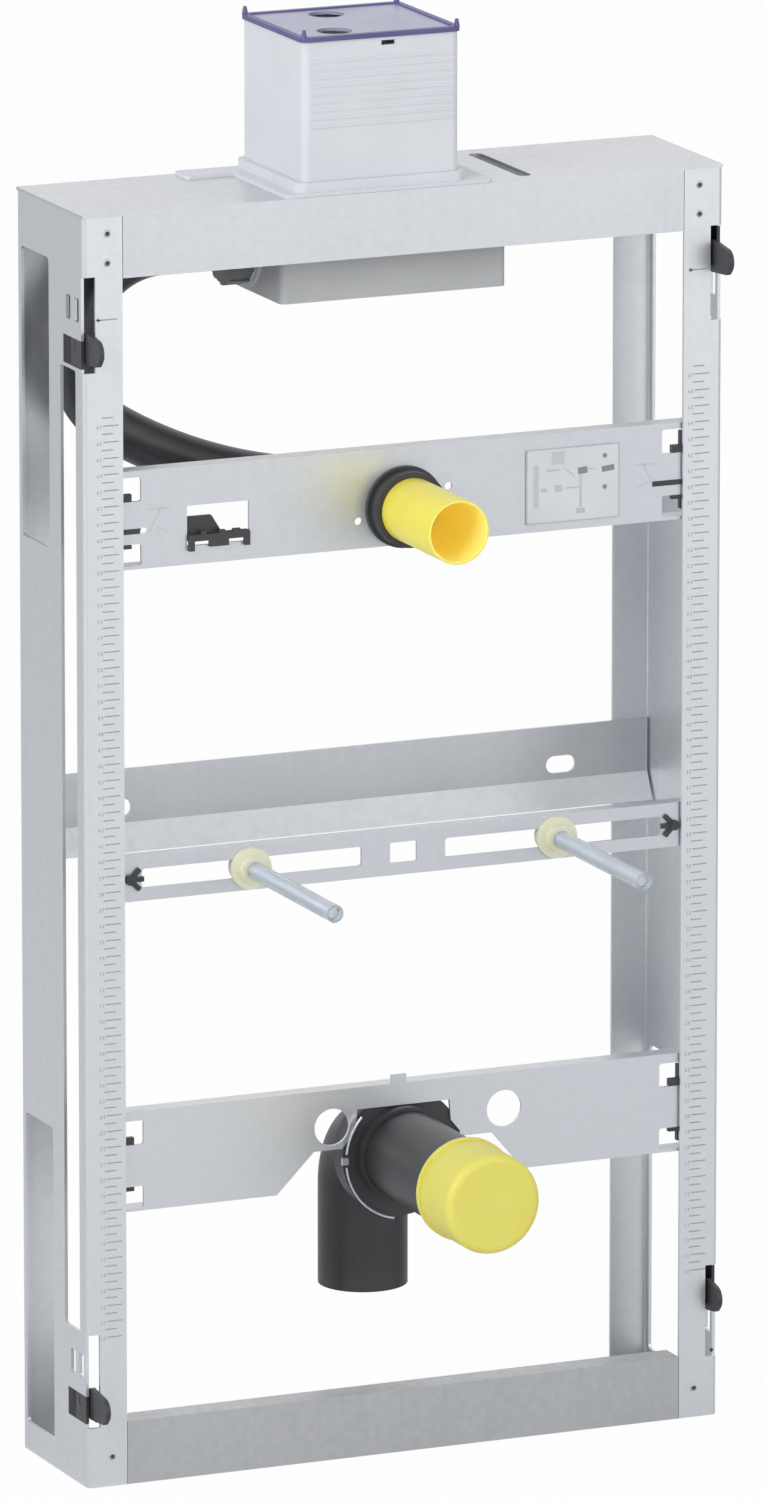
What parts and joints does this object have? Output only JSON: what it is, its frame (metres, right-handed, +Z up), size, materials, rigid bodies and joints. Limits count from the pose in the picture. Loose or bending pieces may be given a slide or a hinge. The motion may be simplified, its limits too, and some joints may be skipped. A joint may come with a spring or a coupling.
{
  "type": "urinal installation frame",
  "caption": "Free-standing steel installation frame for a wall-hung urinal, with flush inlet, stud rail, drain elbow, guard box on top and turn-lock levers at the corners.",
  "frame": {"origin": "middle of the base, on the underside of the bottom beam", "axes": "+X across the frame to the right seen from the front, +Y from the front plane to the back plane, +Z up along the posts"},
  "size_m": [0.425, 0.24, 0.8965],
  "materials": {
    "zinc_sheet": "galvanised",
    "zinc_dark": "galvanised",
    "stud_steel": "threaded",
    "black_plastic": "satin",
    "black_pipe": "satin",
    "yellow_plastic": "soft gloss",
    "cream_plastic": "satin",
    "clear_sleeve": "clear",
    "white_plastic": "satin",
    "grey_plastic": "satin",
    "pale_plastic": "satin",
    "lid_plastic": "translucent",
    "rim_plastic": "satin",
    "label_plate": "satin"
  },
  "bodies": {
    "frame": {"left_post": "zinc_sheet", "right_post": "zinc_sheet", "top_beam": "zinc_sheet", "bottom_beam": "zinc_dark", "rear_crossbar": "zinc_sheet", "upper_traverse": "zinc_sheet", "upper_left_clip": "black_plastic", "upper_right_clip": "black_plastic", "cable_clip": "black_plastic", "label_plate": "label_plate", "flush_pipe": "black_pipe", "flush_elbow": "black_pipe", "flush_coupling": "grey_plastic", "flush_collar": "black_plastic", "flush_plug": "yellow_plastic", "guard_base": "white_plastic", "guard_box": "white_plastic", "guard_lid": "lid_plastic", "guard_rim": "rim_plastic", "valve_tray": "grey_plastic", "tray_connector": "pale_plastic", "top_left_block": "black_plastic", "top_right_block": "black_plastic", "bottom_left_block": "black_plastic", "bottom_right_block": "black_plastic"},
    "stud_carrier": {"stud_rail": "zinc_sheet", "rail_left_clip": "black_plastic", "rail_right_clip": "black_plastic", "left_stud": "stud_steel", "right_stud": "stud_steel", "left_nut": "cream_plastic", "right_nut": "cream_plastic", "left_sleeve": "clear_sleeve", "right_sleeve": "clear_sleeve"},
    "drain_carrier": {"drain_traverse": "zinc_sheet", "drain_left_clip": "black_plastic", "drain_right_clip": "black_plastic", "drain_elbow": "black_pipe", "drain_clamp": "black_plastic", "drain_cap": "yellow_plastic"},
    "top_left_lock": {"top_left_lever": "black_plastic"},
    "top_right_lock": {"top_right_lever": "black_plastic"},
    "bottom_left_lock": {"bottom_left_lever": "black_plastic"},
    "bottom_right_lock": {"bottom_right_lever": "black_plastic"}
  },
  "joints": [
    {"name": "stud_height", "type": "slide", "parent": "frame", "child": "stud_carrier", "axis": [0, 0, 1], "range_m": [-0.04, 0.06]},
    {"name": "drain_height", "type": "slide", "parent": "frame", "child": "drain_carrier", "axis": [0, 0, 1], "range_m": [-0.04, 0.04]},
    {"name": "top_left_turn", "type": "hinge", "parent": "frame", "child": "top_left_lock", "pos_m": [-0.212, -0.0405, 0.713], "axis": [-1, 0, 0], "range_deg": [0, 60]},
    {"name": "top_right_turn", "type": "hinge", "parent": "frame", "child": "top_right_lock", "pos_m": [0.212, -0.0405, 0.7375], "axis": [1, 0, 0], "range_deg": [0, 60]},
    {"name": "bottom_left_turn", "type": "hinge", "parent": "frame", "child": "bottom_left_lock", "pos_m": [-0.212, -0.0405, 0.053], "axis": [-1, 0, 0], "range_deg": [0, 60]},
    {"name": "bottom_right_turn", "type": "hinge", "parent": "frame", "child": "bottom_right_lock", "pos_m": [0.212, -0.0405, 0.0775], "axis": [1, 0, 0], "range_deg": [0, 60]}
  ]
}
